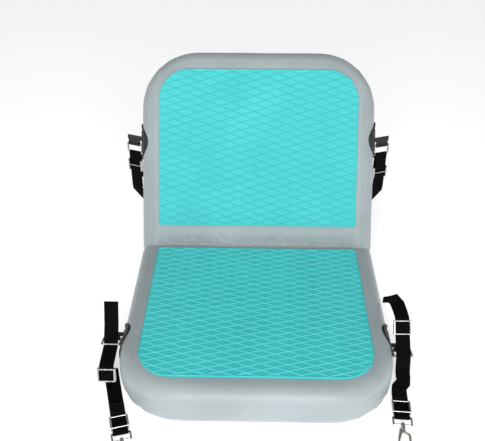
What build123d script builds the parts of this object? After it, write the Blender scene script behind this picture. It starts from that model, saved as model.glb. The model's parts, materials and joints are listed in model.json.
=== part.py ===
from build123d import *
from math import cos, sin, tan, radians, sqrt, atan2, degrees
import os

# Inflatable kayak seat: an L-shaped drop-stitch chamber with foam pads, side anchors and webbing straps.
# Millimetres. -Y is the front, +Z is up, and left is -X, as seen from the front.
# The origin is at floor level, under the middle of the seat.

# Chamber
width = 464.0
thickness = 80.0
seat_depth = 394.0          # crease to front face
back_height = 384.0         # crease to top, along the back
included_angle = 118.0      # between seat top and back front
corner_radius = 112.0       # plan corners of the seat's front and the back's top
shoulder_radius = 30.0      # roll between a skin and the side wall
crease_radius = 8.0         # inner skin at the bend
skin = 1.0
tape = 0.6
tape_inset_outer = 5.0      # how far in from the widest line the tape starts and ends
tape_inset_inner = 19.0
crease_y = 197.0

# Drop-stitch yarns
yarn = 0.9
yarn_pitch = 18.0
yarn_rows = 6
yarn_edge_gap = 18.0

# Foam pads
pad_thickness = 4.0
pad_edge = 1.2
pad_width = 392.0
pad_corner = 60.0
pad_crease_corner = 5.0
seat_pad_from_crease = 12.0
seat_pad_length = 346.0
back_pad_from_crease = 41.0
back_pad_length = 308.0

# Anchors
patch_diameter = 72.0
patch_thickness = 1.6
patch_rim = 1.4
patch_rim_width = 3.0
tab_length = 44.0
webbing_width = 25.0
webbing = 1.6
ring_wire = 3.6
ring_reach = 20.0           # bar centre to bar centre
ring_gap = 0.35
wall_gap = 8.7              # side wall to the inner edge of the webbing

# Sliders and hooks
slider_length = 25.0
slider_rail = 2.4
slider_bar = 2.6
eye_wire = 3.2
eye_reach = 16.0
hook_wire = 4.6
hook_bow = 9.0
swivel_pin = 4.0
swivel_clearance = 0.05
gate_pin = 2.0
gate_clearance = 0.03
hook_lug = 3.0
floor_gap = 0.2
bridge_lap = 1.2            # how far a straight stretch of webbing laps into its neighbours

# Anchor places: front ones by their y, rear ones by their distance up the back
front_anchor_y = {"left": -45.0, "right": -38.0}
rear_anchor_up = {"left": 206.0, "right": 214.0}
rear_bar_drop = {"left": 9.0, "right": 16.0}      # the ring's upper bar below the patch's middle
rear_bar_back = 9.0         # and behind it
rear_yaw = 20.0             # turn of the rear webbing away from square to the side wall
rear_slider_drop = {"left": 28.0, "right": 41.0}  # below the ring's lower bar
rear_end_drop = 58.0
rear_upper_drop = 84.0
rear_eye_drop = 152.0
rear_hook_in = 17.0         # how far the hook end hangs in behind the back
rear_hook_yaw = 60.0

# Free webbing routes in (y, z), chosen by hand
front_tail = {"left": [(-16, 112), (-34, 74)], "right": [(46, 66), (44, 84), (8, 98), (-28, 92), (-48, 70)]}
front_loop = {"left": [(-106, 44), (-113, 19), (-108, 12)], "right": [(-84, 22), (-100, 12)]}
front_bar = {"left": (-58, 50), "right": (-72, 46)}
front_hook_y = {"left": -216.0, "right": -170.0}
front_shift = {"left": 0.0, "right": 8.0}
front_yaw = {"left": 16.0, "right": 4.0}

# Valve
valve_flange = 46.0
valve_flange_thickness = 3.0
valve_barrel = 32.0
valve_bore = 22.0
valve_depth = 26.0
valve_nut = 44.0
valve_nut_thickness = 7.0
valve_thread_gap = 0.05
valve_cap_diameter = 38.0
valve_cap_height = 8.0
valve_x = 120.0
valve_from_crease = 290.0
stem = 3.6
stem_clearance = 0.05
disc_diameter = 27.0
button_depth = 8.0          # outer face of the plunger's button, below the skin
button_diameter = 8.0
button_thickness = 1.5
spring_radius = 3.2
spring_wire = 0.9

turn = 180.0 - included_angle
setback = crease_radius * tan(radians(turn / 2))
bend_y = crease_y - setback
bend_z = thickness + crease_radius
seat_run = seat_depth - setback
back_run = back_height - setback
bend_axis = Axis((0, bend_y, bend_z), (1, 0, 0))
half = width / 2
middle = thickness / 2


def save(shape, name):
    export_step(shape, f"parts/{name}.step")


def to_back(shape):
    """Swing a shape from the flat layout, behind the bend line, up to the leaning back."""
    return shape.rotate(bend_axis, turn)


def plan(run, inset, corner):
    """Outline of a slab: square at the bend line, round at its far corners. It points along +Y."""
    reach = run - inset
    side = half - inset
    far = max(corner - inset, 1.0)
    with BuildSketch() as face:
        with Locations((0, reach / 2)):
            Rectangle(2 * side, reach)
        ends = face.vertices().group_by(Axis.Y)[-1]
        fillet(ends, far)
    return face.sketch


def slab(run, grow):
    """Closed outer form of one chamber, grown outwards on every side but the bend line."""
    body = extrude(plan(run, -grow, corner_radius), thickness + 2 * grow)
    body = body.moved(Location((0, 0, -grow)))
    ends = body.edges().filter_by(GeomType.LINE).group_by(Axis.Y)[0]
    rims = [e for e in body.edges() if e not in ends and abs(e.tangent_at(0.5).Z) < 0.5]
    return fillet(rims, shoulder_radius + grow)


def layer(run, inset, low, high):
    return extrude(plan(run, inset, corner_radius), high - low).moved(Location((0, 0, low)))


def chamber(run):
    """Top skin, bottom skin, side wall and two seam tapes of one slab, pointing along +Y from y = 0."""
    outer = slab(run, 0)
    inner = slab(run, -skin)
    shell = outer - inner
    top_zone = layer(run, shoulder_radius, middle, thickness + 1)
    bottom_zone = layer(run, shoulder_radius, -1, middle)
    top = shell & top_zone
    bottom = shell & bottom_zone
    wall = shell - top_zone - bottom_zone
    tape_ring = layer(run, tape_inset_outer, -9, thickness + 9) - layer(run, tape_inset_inner, -9, thickness + 9)
    bands = (slab(run, tape) - outer) & tape_ring
    parts = sorted(bands.solids(), key=lambda s: s.center().Z)
    return {"top": top, "bottom": bottom, "wall": wall, "tape_low": parts[0], "tape_high": parts[-1]}


def yarns(run):
    """Zigzag rows of yarn between the two skins, each across the width."""
    rows = []
    low = skin
    high = thickness - skin
    for i in range(yarn_rows):
        y = run * (i + 0.5) / yarn_rows
        inset = shoulder_radius + yarn_edge_gap
        over = max(y - (run - corner_radius), 0)
        round_off = corner_radius - sqrt(max(corner_radius ** 2 - over ** 2, 0))
        side = half - inset - round_off
        count = int(2 * side / yarn_pitch)
        start = -count * yarn_pitch / 2
        rise = high - low - yarn
        points = []
        for k in range(2 * count + 1):
            z = low + yarn / 2 + (rise if k % 2 else 0)
            points.append((start + k * yarn_pitch / 2, z))
        with BuildSketch(Plane.XZ) as row:
            with BuildLine():
                Polyline(*points)
            trace(line_width=yarn)
        band = Box(2 * half, 4 * yarn, high - low).moved(Location((0, 0, middle)))
        rows.append((extrude(row.sketch, yarn) & band).moved(Location((0, y, 0))))
    return Compound([s for r in rows for s in r.solids()])


def pad(start, length, corner):
    with BuildSketch() as face:
        with Locations((0, start + length / 2)):
            Rectangle(pad_width, length)
        fillet(face.vertices().group_by(Axis.Y)[-1], corner)
        fillet(face.vertices().group_by(Axis.Y)[0], pad_crease_corner)
    body = extrude(face.sketch, pad_thickness).moved(Location((0, 0, thickness)))
    return chamfer(body.faces().sort_by(Axis.Z)[-1].edges(), pad_edge)


def to_seat(shape):
    """Turn the flat layout, which points along +Y from 0, round to the seat in front of the bend."""
    return shape.mirror(Plane.XZ).moved(Location((0, bend_y, 0)))


def make_seat():
    parts = chamber(seat_run)
    save(to_seat(parts["top"]), "seat_top_skin")
    save(to_seat(parts["bottom"]), "seat_bottom_skin")
    save(to_seat(parts["wall"]), "seat_side_wall")
    save(to_seat(parts["tape_high"]), "seat_upper_seam_tape")
    save(to_seat(parts["tape_low"]), "seat_lower_seam_tape")
    save(to_seat(yarns(seat_run)), "seat_drop_yarns")
    save(to_seat(pad(seat_pad_from_crease - setback, seat_pad_length, pad_corner)), "seat_foam_pad")


def make_bend():
    """A wedge of the slab's section, turned about the bend axis."""
    def section(inset):
        with BuildSketch(Plane.XZ) as face:
            with Locations((0, middle)):
                RectangleRounded(2 * (half - inset), thickness - 2 * inset, shoulder_radius - inset)
        return face.sketch.moved(Location((0, bend_y, 0)))
    ring = section(0) - section(skin)
    wedge = revolve(ring, bend_axis, turn)
    if wedge.center().Z < 0 or wedge.bounding_box().min.Y < bend_y - 1:
        wedge = revolve(ring, bend_axis, -turn)
    inner_cut = revolve(Plane.XZ.offset(-bend_y) * Pos(0, thickness) *
                        Rectangle(2 * (half - shoulder_radius), 2 * skin + 0.5), bend_axis, turn)
    outer_cut = revolve(Plane.XZ.offset(-bend_y) * Pos(0, 0) *
                        Rectangle(2 * (half - shoulder_radius), 2 * skin + 0.5), bend_axis, turn)
    save(wedge & inner_cut, "bend_inner_skin")
    save(wedge & outer_cut, "bend_outer_skin")
    sides = (wedge - inner_cut - outer_cut).solids().sort_by(Axis.X)
    save(sides[0], "bend_left_wall")
    save(sides[-1], "bend_right_wall")


def flat_back(shape):
    """Place a flat-layout shape, which points along +Y from 0, behind the bend line."""
    return to_back(shape.moved(Location((0, bend_y, 0))))


def valve_hole():
    at = Location((valve_x, valve_from_crease - setback, 0))
    return extrude(Circle(valve_barrel / 2), 2 * skin + 2, both=True).moved(at)


def make_back():
    parts = chamber(back_run)
    save(flat_back(parts["top"]), "back_front_skin")
    save(flat_back(parts["bottom"] - valve_hole()), "back_rear_skin")
    save(flat_back(parts["wall"]), "back_side_wall")
    save(flat_back(parts["tape_high"]), "back_front_seam_tape")
    save(flat_back(parts["tape_low"]), "back_rear_seam_tape")
    room = extrude(Circle(valve_nut / 2 + 3), thickness).moved(Location((valve_x, valve_from_crease - setback, 0)))
    rows = [s for s in yarns(back_run).solids()]
    kept = [k for s in rows for k in (s - room).solids()]
    save(flat_back(Compound(kept)), "back_drop_yarns")
    save(flat_back(pad(back_pad_from_crease - setback, back_pad_length, pad_corner)), "back_foam_pad")


def disc(diameter, low, high):
    return extrude(Circle(diameter / 2), high - low).moved(Location((0, 0, low)))


def make_valve():
    """Inflation valve on the rear skin. In the flat layout it looks down, so z = 0 is the skin's outer face."""
    at = Location((valve_x, valve_from_crease - setback, 0))

    def put(shape, name):
        save(flat_back(shape.moved(at)), name)
    web = 3.0
    web_z = valve_depth - 6
    body = disc(valve_flange, -valve_flange_thickness, 0) + disc(valve_barrel, -0.5, valve_depth)
    body -= disc(valve_bore, -valve_flange_thickness - 1, valve_depth + 1)
    cross = Box(valve_bore + 2, 4, web).moved(Location((0, 0, web_z)))
    cross += disc(9, web_z - web / 2, web_z + web / 2)
    body += cross & disc(valve_bore + 1, web_z - web, web_z + web)
    body -= disc(stem + 2 * stem_clearance, 0, valve_depth)
    put(body, "valve_body")
    nut = disc(valve_nut, skin, skin + valve_nut_thickness)
    nut -= disc(valve_barrel + 2 * valve_thread_gap, 0, 20)
    put(nut, "valve_inner_nut")
    seat_z = valve_depth
    button_end = button_depth + button_thickness
    plunger = disc(stem, button_depth, seat_z + 3) + disc(button_diameter, button_depth, button_end)
    plunger += disc(disc_diameter, seat_z + 2, seat_z + 4)
    put(plunger, "valve_plunger")
    seal = disc(disc_diameter, seat_z, seat_z + 2) - disc(disc_diameter - 5, seat_z - 1, seat_z + 3)
    put(seal, "valve_seal")
    coil_low = button_end
    coil_high = web_z - web / 2
    spring = disc(2 * spring_radius + spring_wire, coil_low, coil_high)
    spring -= disc(2 * spring_radius - spring_wire, coil_low - 1, coil_high + 1)
    put(spring, "valve_spring")
    top = -valve_flange_thickness
    cap = disc(valve_cap_diameter, top - valve_cap_height, top - 0.3)
    cap -= disc(valve_cap_diameter - 5, top - valve_cap_height + 2.5, top + 1)
    grip = Box(26, 5, 5).moved(Location((0, 0, top - valve_cap_height - 2.4)))
    knuckle_y = valve_flange / 2 + 4
    arm = Box(8, knuckle_y - valve_cap_diameter / 2 + 2, 2)
    arm = arm.moved(Location((0, (knuckle_y + valve_cap_diameter / 2 - 2) / 2, top - 1.6)))
    hub = Cylinder(2.4, 8).rotate(Axis.Y, 90).moved(Location((0, knuckle_y, top - 1.6)))
    cap = cap + grip + arm + hub
    cap -= Cylinder(1.0 + 0.05, 12).rotate(Axis.Y, 90).moved(Location((0, knuckle_y, top - 1.6)))
    put(cap, "valve_cap")
    ears = []
    for side in (-1, 1):
        ear = Box(3, 5, 5.4).moved(Location((side * 6.0, knuckle_y, -2.8)))
        ears.append(ear)
    leash = Box(15, 10, 1.0).moved(Location((0, valve_flange / 2 + 6.2, -0.5))) + ears[0] + ears[1]
    leash -= Box(7.9, 6, 4).moved(Location((0, knuckle_y, -3.0)))
    leash += Cylinder(1.0, 13).rotate(Axis.Y, 90).moved(Location((0, knuckle_y, top - 1.6)))
    put(leash, "valve_cap_hinge")




def toward(a, b):
    d = (b[0] - a[0], b[1] - a[1])
    n = sqrt(d[0] ** 2 + d[1] ** 2)
    return (d[0] / n, d[1] / n)


def round_bar(bar, before, after, r, side):
    """Corner of a route that goes round a bar on the given side, so that its arc of radius r is centred there."""
    corner = (bar[0] + side[0] * r, bar[1] + side[1] * r)
    for _ in range(30):
        a = toward(corner, before)
        b = toward(corner, after)
        m = (a[0] + b[0], a[1] + b[1])
        n = sqrt(m[0] ** 2 + m[1] ** 2)
        open_half = sqrt((a[0] - b[0]) ** 2 + (a[1] - b[1]) ** 2) / 2
        corner = (bar[0] - m[0] / n * r / open_half, bar[1] - m[1] / n * r / open_half)
    return corner


def ribbon(plane, points, radii):
    """Webbing along a flat route. The plane's z is across the webbing."""
    with BuildSketch(plane) as face:
        with BuildLine():
            FilletPolyline(*points, radius=radii)
        trace(line_width=webbing)
    return extrude(face.sketch, webbing_width / 2, both=True)


def bridge(start, end):
    """A straight stretch of webbing between two cross-section planes."""
    section = Rectangle(webbing_width, webbing)
    return loft([start.offset(-bridge_lap) * section, end.offset(bridge_lap) * section], ruled=True)


def slider(plane):
    """Metal slider on a layer of webbing. The plane's x is along the webbing and its z across it."""
    across = webbing_width / 2 + 0.3 + slider_rail / 2
    lift = webbing / 2 + 0.3 + slider_bar / 2
    body = None
    for s in (-1, 1):
        rail = Box(slider_length, 2 * lift + slider_bar, slider_rail).moved(Location((0, 0, s * across)))
        rail = fillet(rail.edges().filter_by(Axis.Z), 1.2)
        bar = Cylinder(slider_bar / 2, 2 * across).moved(Location((s * (slider_length - slider_bar) / 2, lift, 0)))
        body = rail + bar if body is None else body + rail + bar
    body += Cylinder(slider_bar / 2, 2 * across).moved(Location((0, -lift, 0)))
    return plane.location * body


def ring(plane, reach):
    """Wire ring in the plane's x and z, from the bar at its origin to the bar at x = reach."""
    inner = webbing_width + 3.0
    wire = ring_wire / 2
    loop = RectangleRounded(reach + ring_wire, inner + 2 * ring_wire, 4.2)
    loop -= RectangleRounded(reach - ring_wire, inner, 2.0)
    body = extrude(loop, wire, both=True).moved(Location((reach / 2, 0, 0)))
    body = chamfer(body.edges().group_by(Axis.Z)[0] + body.edges().group_by(Axis.Z)[-1], 0.9)
    return plane.location * body.rotate(Axis.X, 90)


def hook_eye(plane):
    """Square eye with its swivel barrel. x runs from the webbing's bar to the hook, z is across the webbing."""
    wire = eye_wire / 2
    inner = webbing_width + 2.0
    loop = RectangleRounded(eye_reach + eye_wire, inner + 2 * eye_wire, 4.0)
    loop -= RectangleRounded(eye_reach - eye_wire, inner, 1.6)
    body = extrude(loop, wire, both=True).moved(Location((eye_reach / 2, 0, 0)))
    body = chamfer(body.edges().group_by(Axis.Z)[0] + body.edges().group_by(Axis.Z)[-1], 0.8).rotate(Axis.X, 90)
    body += Cylinder(3.5, 7).rotate(Axis.Y, 90).moved(Location((eye_reach + 2, 0, 0)))
    body -= Cylinder(swivel_pin / 2 + swivel_clearance, 12).rotate(Axis.Y, 90).moved(Location((eye_reach + 2, 0, 0)))
    return plane.location * body


hook_start = eye_reach + 2 + 3.5 + 0.3
hook_bow_x = hook_start + 27.0
gate_pivot = (hook_start + 8.0, 4.6)


def hook_body(plane):
    """Swivelling hook: a headed pin through the barrel, a collar, and a wire bow open on one side."""
    head = Cylinder(3.2, 1.6).rotate(Axis.Y, 90).moved(Location((eye_reach - 1.5 - 0.3 - 0.8, 0, 0)))
    shank_start = eye_reach - 1.5 - 0.3 - 1.6
    shank_length = hook_start + 1 - shank_start
    shank = Cylinder(swivel_pin / 2, shank_length).rotate(Axis.Y, 90)
    shank = shank.moved(Location((shank_start + shank_length / 2, 0, 0)))
    collar = Cylinder(3.5, 4.6).rotate(Axis.Y, 90).moved(Location((hook_start + 2.3, 0, 0)))
    far = hook_bow_x + hook_bow
    with BuildLine() as path:
        FilletPolyline((hook_start + 3, 0), (hook_start + 8, 0), (hook_start + 13, -hook_bow), (far, -hook_bow),
                       (far, hook_bow), (hook_bow_x, hook_bow), radius=[3, 4, hook_bow - 0.1, hook_bow - 0.1])
    start = Plane(origin=(hook_start + 3, 0, 0), x_dir=(0, 1, 0), z_dir=(1, 0, 0))
    bow = sweep(start * Circle(hook_wire / 2), path=path.line)
    lug = extrude(RectangleRounded(9, 9, 2), hook_lug / 2, both=True)
    lug = lug.moved(Location((gate_pivot[0] - 1.6, gate_pivot[1] - 2.4, 0)))
    body = head + shank + collar + bow + lug
    body -= Cylinder(gate_pin / 2 + gate_clearance, 12).moved(Location((gate_pivot[0], gate_pivot[1], 0)))
    return plane.location * body.rotate(Axis.X, 90)


def hook_gate(plane):
    """Sprung gate: two cheeks beside the lug, their pin, and a lever up to the tip of the bow."""
    tip = (hook_bow_x - 1.0, hook_bow)
    run = sqrt((tip[0] - gate_pivot[0]) ** 2 + (tip[1] - gate_pivot[1]) ** 2)
    angle = degrees(atan2(tip[1] - gate_pivot[1], tip[0] - gate_pivot[0]))
    cheek_width = 1.1
    cheek_z = hook_lug / 2 + 0.3 + cheek_width / 2
    body = Cylinder(gate_pin / 2, 2 * cheek_z + cheek_width)
    for s in (-1, 1):
        cheek = extrude(SlotCenterToCenter(8.5, 5.0), cheek_width / 2, both=True)
        body += cheek.moved(Location((4.25, 0, s * cheek_z)))
    lever_start = 6.4
    lever = Box(run - lever_start, 3.6, 2 * cheek_z + cheek_width)
    lever = lever.moved(Location((lever_start + (run - lever_start) / 2, 0, 0)))
    body += lever
    body = body.rotate(Axis.Z, angle).moved(Location((gate_pivot[0], gate_pivot[1], 0)))
    return plane.location * body.rotate(Axis.X, 90)


wrap = ring_wire / 2 + ring_gap + webbing / 2
eye_wrap = eye_wire / 2 + ring_gap + webbing / 2
floor_z = floor_gap + webbing / 2
kit_x = -half - wall_gap - webbing_width / 2


def side_plane(x, y=0.0, z=0.0):
    """Plane with x along +Y, y up and z along +X."""
    return Plane(origin=(x, y, z), x_dir=(0, 1, 0), z_dir=(1, 0, 0))


def save_kit(pieces, prefix, side):
    for name, shape in pieces.items():
        save(shape.mirror(Plane.YZ) if side == "right" else shape, f"{prefix}_{side}_{name}")


def anchor(run, along, place):
    """Round patch with a raised rim on the left side wall, and the sewn base of its tab."""
    flat = slab(run, 0)
    bands = slab(run, tape) - flat
    at = Location((-half, along, middle))

    def across(diameter):
        return (at * Cylinder(diameter / 2, 80).rotate(Axis.Y, 90))
    skin_1 = slab(run, patch_thickness)
    skin_2 = slab(run, patch_thickness + patch_rim)
    skin_3 = slab(run, patch_thickness + webbing)
    patch = (skin_1 - flat - bands) & across(patch_diameter)
    rim = (skin_2 - skin_1) & (across(patch_diameter) - across(patch_diameter - 2 * patch_rim_width))
    patch = patch + rim
    base = (skin_3 - skin_1) & (at * Box(80, tab_length, webbing_width))
    return place(patch), place(base), place(skin_1)


def tab_fin(bar, direction, x):
    """Webbing folded round the ring's bar, with its two layers running away to the sewn base."""
    low = ring_wire / 2 + ring_gap
    sleeve = Cylinder(low + webbing, webbing_width) - Cylinder(low, webbing_width + 2)
    tail_run = Box(16, 2 * webbing, webbing_width).moved(Location((low + 8.6, 0, 0)))
    reach_in = Box(9, 2 * webbing, webbing_width + 26).moved(Location((low + 12.1, 0, 12)))
    plane = Plane(origin=(x, bar[0], bar[1]), x_dir=(0, direction[0], direction[1]), z_dir=(1, 0, 0))
    return plane.location * (sleeve + tail_run + reach_in)


def front_kit(side):
    y0 = front_anchor_y[side]
    bar = front_bar[side]
    loop = front_loop[side]
    shift = front_shift[side]
    patch, base, solid = anchor(seat_run, bend_y - y0, to_seat)
    tab_bar = (bar[0] + 0.98 * ring_reach, bar[1] - 0.2 * ring_reach)
    away = toward(bar, tab_bar)
    tab = base + (tab_fin(tab_bar, away, kit_x) - solid)
    ring_plane = Plane(origin=(kit_x, tab_bar[0], tab_bar[1]), x_dir=(0, -away[0], -away[1]), z_dir=(1, 0, 0))
    tail = front_tail[side]
    corner = round_bar(bar, tail[-1], loop[0], wrap, (0, -1))
    points = tail + [corner] + loop
    radii = [6] * (len(tail) - 1) + [wrap, 8] + [4] * (len(loop) - 2)
    upper = ribbon(side_plane(kit_x), points, radii)
    last = toward(loop[-2], loop[-1])
    top_cut = Plane(origin=(kit_x, loop[-1][0], loop[-1][1]), x_dir=(1, 0, 0), z_dir=(0, last[0], last[1]))
    # The lower run starts further in and lies on the floor.
    run_x = kit_x + shift
    turn_y = loop[-1][0] + (30 if side == "left" else -6)
    eye_y = front_hook_y[side]
    eye_z = floor_z + eye_wrap
    pivot = Axis((run_x, turn_y, 0), (0, 0, 1))
    if side == "left":
        lower = [(turn_y - 19, 9.6), (turn_y - 12, 7.6), (turn_y + 4, 7.0), (turn_y + 4, floor_z)]
        lower_radii = [12, 2.9, 2.9]
    else:
        lower = [(turn_y, 5.0), (turn_y - 10, floor_z)]
        lower_radii = [10]
    first = toward(lower[0], lower[1])
    far = eye_y - eye_wrap
    lower += [(far, floor_z), (far, eye_z + eye_wrap), (eye_y + 62, eye_z + eye_wrap)]
    lower_radii += [eye_wrap - 0.05, eye_wrap - 0.05]
    run_plane = side_plane(run_x)
    floor_run = ribbon(run_plane, lower, lower_radii[:len(lower) - 2]).rotate(pivot, front_yaw[side])
    low_cut = Plane(origin=(run_x, lower[0][0], lower[0][1]), x_dir=(1, 0, 0), z_dir=(0, first[0], first[1]))
    swing = Location(pivot.position) * Location((0, 0, 0), (0, 0, 1), front_yaw[side]) * Location(-pivot.position)
    low_cut = Plane((swing * low_cut.location))
    strap = upper.fuse(bridge(top_cut, low_cut), floor_run)
    near = slider(slider_plane_at(side, points, kit_x))
    eye_base = Plane(origin=(run_x, eye_y, eye_z), x_dir=(0, -1, 0), z_dir=(1, 0, 0))
    spun = Plane(swing * eye_base.location)
    hook_slider_plane = Plane(origin=(run_x, eye_y + 19, eye_z + eye_wrap), x_dir=(0, 1, 0), z_dir=(1, 0, 0))
    pieces = {
        "anchor_patch": patch,
        "anchor_tab": tab,
        "anchor_ring": ring(ring_plane, ring_reach),
        "strap": strap,
        "ring_slider": near,
        "hook_slider": slider(Plane(swing * hook_slider_plane.location)),
        "hook_eye": hook_eye(spun),
        "hook": hook_body(spun),
        "hook_gate": hook_gate(spun),
    }
    save_kit(pieces, "front", side)
    return {"ring": (kit_x, *tab_bar), "bar": (kit_x, *bar), "eye": spun, "near": slider_plane_at(side, points, kit_x),
            "far": Plane(swing * hook_slider_plane.location)}


def slider_plane_at(side, points, x):
    """The slider near the ring: on the fold of the left strap, on the rise of the right one."""
    a, b = (points[-3], points[-2]) if side == "left" else (points[3], points[4])
    share = 0.58 if side == "left" else 0.5
    mid = (a[0] + (b[0] - a[0]) * share, a[1] + (b[1] - a[1]) * share)
    d = toward(a, b)
    return Plane(origin=(x, mid[0], mid[1]), x_dir=(0, -d[0], -d[1]), z_dir=(1, 0, 0))


def rear_place(side):
    """Point at mid-thickness on the left side wall of the leaning back, at the anchor's height."""
    up = radians(turn)
    along = rear_anchor_up[side] - setback
    y = bend_y + along * cos(up) - (middle - bend_z) * sin(up)
    z = bend_z + along * sin(up) + (middle - bend_z) * cos(up)
    return y, z


def rear_kit(side):
    y0, z0 = rear_place(side)
    patch, base, solid = anchor(back_run, rear_anchor_up[side] - setback, flat_back)
    spin_x = kit_x
    spin_y = y0 + rear_bar_back
    spin = Axis((spin_x, spin_y, 0), (0, 0, 1))
    swing = Location((spin_x, spin_y, 0)) * Location((0, 0, 0), (0, 0, 1), -rear_yaw) * Location((-spin_x, -spin_y, 0))
    tab_bar = (spin_y, z0 - rear_bar_drop[side])
    bar = (spin_y, tab_bar[1] - ring_reach)
    tab = base + (tab_fin(tab_bar, (0, 1), spin_x).rotate(spin, -rear_yaw) - solid)
    ring_plane = Plane(origin=(spin_x, *tab_bar), x_dir=(0, 0, -1), z_dir=(1, 0, 0))
    top = bar[1] + wrap
    drop_end = bar[1] - rear_upper_drop
    points = [(spin_y + wrap, bar[1] - rear_end_drop), (spin_y + wrap, top), (spin_y - wrap, top),
              (spin_y - wrap, drop_end)]
    upper = ribbon(side_plane(spin_x), points, [wrap - 0.05] * 2).rotate(spin, -rear_yaw)
    cut = Plane(origin=(spin_x, spin_y - wrap, drop_end), x_dir=(1, 0, 0), z_dir=(0, 0, -1))
    cut = Plane(swing * cut.location)
    low_x = spin_x + rear_hook_in
    low_swing = Location((low_x, spin_y, 0)) * Location((0, 0, 0), (0, 0, 1), -rear_hook_yaw)
    low_swing = low_swing * Location((-low_x, -spin_y, 0))
    low_spin = Axis((low_x, spin_y, 0), (0, 0, 1))
    eye_z = bar[1] - rear_eye_drop
    start = (spin_y - eye_wrap, eye_z + 30)
    low_points = [start, (spin_y - eye_wrap, eye_z - eye_wrap), (spin_y + eye_wrap, eye_z - eye_wrap),
                  (spin_y + eye_wrap, eye_z + 26)]
    lower = ribbon(side_plane(low_x), low_points, [eye_wrap - 0.05] * 2).rotate(low_spin, -rear_hook_yaw)
    low_cut = Plane(origin=(low_x, *start), x_dir=(1, 0, 0), z_dir=(0, 0, -1))
    low_cut = Plane(low_swing * low_cut.location)
    strap = upper.fuse(bridge(cut, low_cut), lower)
    grip = Plane(origin=(spin_x, spin_y - wrap, bar[1] - rear_slider_drop[side]), x_dir=(0, 0, -1), z_dir=(1, 0, 0))
    grip = Plane(swing * grip.location)
    eye = Plane(origin=(low_x, spin_y, eye_z), x_dir=(0, 0, -1), z_dir=(1, 0, 0))
    eye = Plane(low_swing * eye.location)
    pieces = {
        "anchor_patch": patch,
        "anchor_tab": tab,
        "anchor_ring": ring(ring_plane, ring_reach).rotate(spin, -rear_yaw),
        "strap": strap,
        "ring_slider": slider(grip),
        "hook_eye": hook_eye(eye),
        "hook": hook_body(eye),
        "hook_gate": hook_gate(eye),
    }
    save_kit(pieces, "rear", side)
    return {"ring": (spin_x, *tab_bar), "bar": (spin_x, *bar), "eye": eye, "near": grip}


def main():
    os.makedirs("parts", exist_ok=True)
    make_seat()
    make_bend()
    make_back()
    make_valve()
    for side in ("left", "right"):
        front_kit(side)
        rear_kit(side)


if __name__ == "__main__":
    main()
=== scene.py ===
"""Looks of the inflatable kayak seat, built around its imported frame. Metres, in the frame's own axes."""
import json
import math

import bpy
from mathutils import Matrix, Vector, noise


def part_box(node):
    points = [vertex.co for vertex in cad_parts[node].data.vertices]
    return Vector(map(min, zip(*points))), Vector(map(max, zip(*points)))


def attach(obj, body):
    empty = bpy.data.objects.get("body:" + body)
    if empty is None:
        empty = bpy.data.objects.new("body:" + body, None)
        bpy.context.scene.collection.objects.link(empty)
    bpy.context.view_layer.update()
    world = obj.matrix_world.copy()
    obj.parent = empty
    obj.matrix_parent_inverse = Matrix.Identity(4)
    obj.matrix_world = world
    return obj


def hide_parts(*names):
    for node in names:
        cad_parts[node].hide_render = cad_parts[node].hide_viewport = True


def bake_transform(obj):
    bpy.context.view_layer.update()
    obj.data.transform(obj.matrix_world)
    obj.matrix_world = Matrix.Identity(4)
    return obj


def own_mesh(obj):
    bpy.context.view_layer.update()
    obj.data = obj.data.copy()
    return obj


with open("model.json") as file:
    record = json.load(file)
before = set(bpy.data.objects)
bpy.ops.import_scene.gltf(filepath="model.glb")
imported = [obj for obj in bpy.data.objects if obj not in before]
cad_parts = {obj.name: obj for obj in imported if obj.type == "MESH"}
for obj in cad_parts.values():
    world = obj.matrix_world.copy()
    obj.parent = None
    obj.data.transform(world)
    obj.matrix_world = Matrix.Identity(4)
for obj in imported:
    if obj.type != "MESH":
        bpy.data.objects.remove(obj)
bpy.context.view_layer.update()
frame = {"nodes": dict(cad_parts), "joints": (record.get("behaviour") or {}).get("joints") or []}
MM = 0.001
joints = {j["name"]: j for j in frame["joints"]}


def place_of(joint):
    return Vector(joints[joint]["pos_m"])


# ---------------------------------------------------------------- sizes from the frame
seat_low, seat_high = (Vector(v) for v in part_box("seat_side_wall"))
seat_pad_low, seat_pad_high = (Vector(v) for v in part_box("seat_foam_pad"))
HINGE = place_of("backrest_tilt")
THICK = seat_high.z - seat_low.z
HALF = (seat_high.x - seat_low.x) / 2
SEAT_RUN = HINGE.y - seat_low.y
BACK_RUN = SEAT_RUN - 10 * MM
CREASE_R = HINGE.z - THICK
TURN = math.radians(62)
CORNER_R = 112 * MM
SHOULDER_R = 30 * MM
BEND_S = 46 * MM                      # unfolded length given to the bend
SETBACK = CREASE_R * math.tan(TURN / 2)
PAD_T = seat_pad_high.z - THICK
PAD_HALF = (seat_pad_high.x - seat_pad_low.x) / 2
PAD_CORNER = 60 * MM
PAD_CREASE_CORNER = 5 * MM


def fold(x, s, t):
    """From the unfolded slab to the frame. s is 0 where the bend starts and negative over the seat."""
    if s <= 0:
        return Vector((x, HINGE.y + s, t))
    angle = TURN * min(s / BEND_S, 1.0)
    beyond = max(s - BEND_S, 0.0)
    y, z = beyond, t - HINGE.z
    return Vector((x, HINGE.y + y * math.cos(angle) - z * math.sin(angle),
                   HINGE.z + y * math.sin(angle) + z * math.cos(angle)))


# ---------------------------------------------------------------- mesh helpers
def make_mesh(name, points, faces, smooth=True):
    mesh = bpy.data.meshes.new(name)
    mesh.from_pydata([tuple(p) for p in points], [], faces)
    mesh.update()
    for poly in mesh.polygons:
        poly.use_smooth = smooth
    piece = bpy.data.objects.new(name, mesh)
    bpy.context.scene.collection.objects.link(piece)
    return piece


def set_relief(piece, values, name="relief"):
    layer = piece.data.attributes.new(name, "FLOAT", "POINT")
    layer.data.foreach_set("value", values)


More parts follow.
